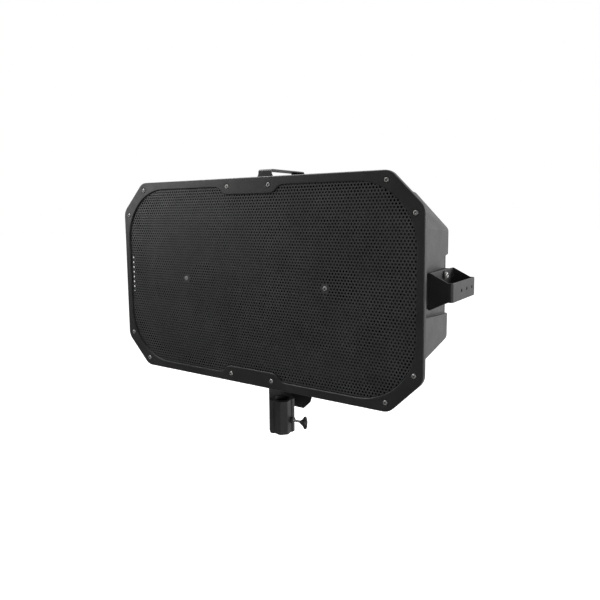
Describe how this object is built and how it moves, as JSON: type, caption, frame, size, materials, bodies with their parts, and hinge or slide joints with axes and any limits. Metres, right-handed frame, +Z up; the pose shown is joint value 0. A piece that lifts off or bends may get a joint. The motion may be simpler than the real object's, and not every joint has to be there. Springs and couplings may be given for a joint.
{
  "type": "pa speaker",
  "caption": "Wide octagonal loudspeaker cabinet with a perforated grille, folded mounting brackets and a pole socket with a winged clamp screw.",
  "frame": {"origin": "centre of the pole socket's lower mouth, on the socket's axis", "axes": "+Z up along the pole, the grille faces -Y, +X to the right seen from the front"},
  "size_m": [0.877, 0.2773, 0.6275],
  "materials": {
    "frame_paint": "satin black powder coat",
    "grille_paint": "satin black powder coat",
    "foam": "matt closed-cell foam",
    "shell_plastic": "fine-textured moulded plastic",
    "baffle_wood": "black-stained plywood",
    "stainless": "bright stainless steel",
    "black_steel": "black oxide steel",
    "zinc_steel": "zinc-plated steel",
    "board": "glass-epoxy board",
    "brass_posts": "turned brass",
    "capacitor_film": "wrapped film capacitors",
    "copper_wire": "enamelled copper wire",
    "terminal_steel": "textured black paint",
    "connector_plastic": "glass-filled black nylon",
    "bracket_paint": "satin black powder coat on steel",
    "rubber_black": "matt black rubber",
    "socket_paint": "satin black paint on cast aluminium",
    "pad_nylon": "natural nylon",
    "knob_plastic": "moulded black plastic",
    "basket_steel": "black painted pressed steel",
    "ferrite": "sintered ferrite",
    "paper_cone": "treated paper pulp",
    "surround_rubber": "soft rubber roll",
    "spider_cloth": "resin-treated cotton",
    "plug_aluminium": "turned aluminium"
  },
  "bodies": {
    "cabinet": {"baffle": "baffle_wood", "baffle_screws": "black_steel", "basket_left": "basket_steel", "basket_right": "basket_steel", "board_posts": "brass_posts", "board_screws": "zinc_steel", "bolt_washers": "rubber_black", "bracket_bolts": "stainless", "bracket_bottom": "bracket_paint", "bracket_left": "bracket_paint", "bracket_right": "bracket_paint", "bracket_top": "bracket_paint", "bracket_wedge_bottom": "rubber_black", "bracket_wedge_left": "rubber_black", "bracket_wedge_right": "rubber_black", "bracket_wedge_top": "rubber_black", "capacitors": "capacitor_film", "centre_screws": "stainless", "connector_left": "connector_plastic", "connector_right": "connector_plastic", "crossover_board": "board", "driver_screws": "black_steel", "frame_screws": "stainless", "front_frame": "frame_paint", "grille_gasket": "foam", "grille_sheet": "grille_paint", "hanger_bolts": "zinc_steel", "hanger_nuts": "zinc_steel", "inductor": "copper_wire", "magnet_left": "ferrite", "magnet_right": "ferrite", "nut_plate_bottom": "zinc_steel", "nut_plate_left": "zinc_steel", "nut_plate_right": "zinc_steel", "nut_plate_top": "zinc_steel", "phase_plug_left": "plug_aluminium", "phase_plug_right": "plug_aluminium", "pole_hanger": "bracket_paint", "pole_socket": "socket_paint", "rear_shell": "shell_plastic", "socket_screws": "zinc_steel", "spider_left": "spider_cloth", "spider_right": "spider_cloth", "surround_left": "surround_rubber", "surround_right": "surround_rubber", "terminal_gasket": "foam", "terminal_plate": "terminal_steel", "terminal_screws": "stainless", "top_plate_left": "zinc_steel", "top_plate_right": "zinc_steel", "yoke_left": "zinc_steel", "yoke_right": "zinc_steel"},
    "cone_left_moving": {"cone_left": "paper_cone", "voice_coil_left": "copper_wire"},
    "cone_right_moving": {"cone_right": "paper_cone", "voice_coil_right": "copper_wire"},
    "clamp": {"clamp_pad": "pad_nylon"},
    "thumbscrew": {"thumb_screw": "zinc_steel", "thumb_knob": "knob_plastic"}
  },
  "joints": [
    {"name": "cone_left_travel", "type": "slide", "parent": "cabinet", "child": "cone_left_moving", "axis": [0, 1, 0], "range_m": [-0.006, 0.006], "stiffness_N_per_m": 3000, "deforming": ["surround_left", "spider_left"]},
    {"name": "cone_right_travel", "type": "slide", "parent": "cabinet", "child": "cone_right_moving", "axis": [0, 1, 0], "range_m": [-0.006, 0.006], "stiffness_N_per_m": 3000, "deforming": ["surround_right", "spider_right"]},
    {"name": "clamp_pad_slide", "type": "slide", "parent": "cabinet", "child": "clamp", "axis": [-1, 0, 0], "range_m": [0, 0.00198]},
    {"name": "thumb_screw_turn", "type": "hinge", "parent": "clamp", "child": "thumbscrew", "pos_m": [0.045, 0, 0.033], "axis": [-1, 0, 0], "range_deg": [0, 715]}
  ],
  "couplings": [
    {"joint": "thumb_screw_turn", "follows": "clamp_pad_slide", "rad_per_m": 6283.2}
  ]
}
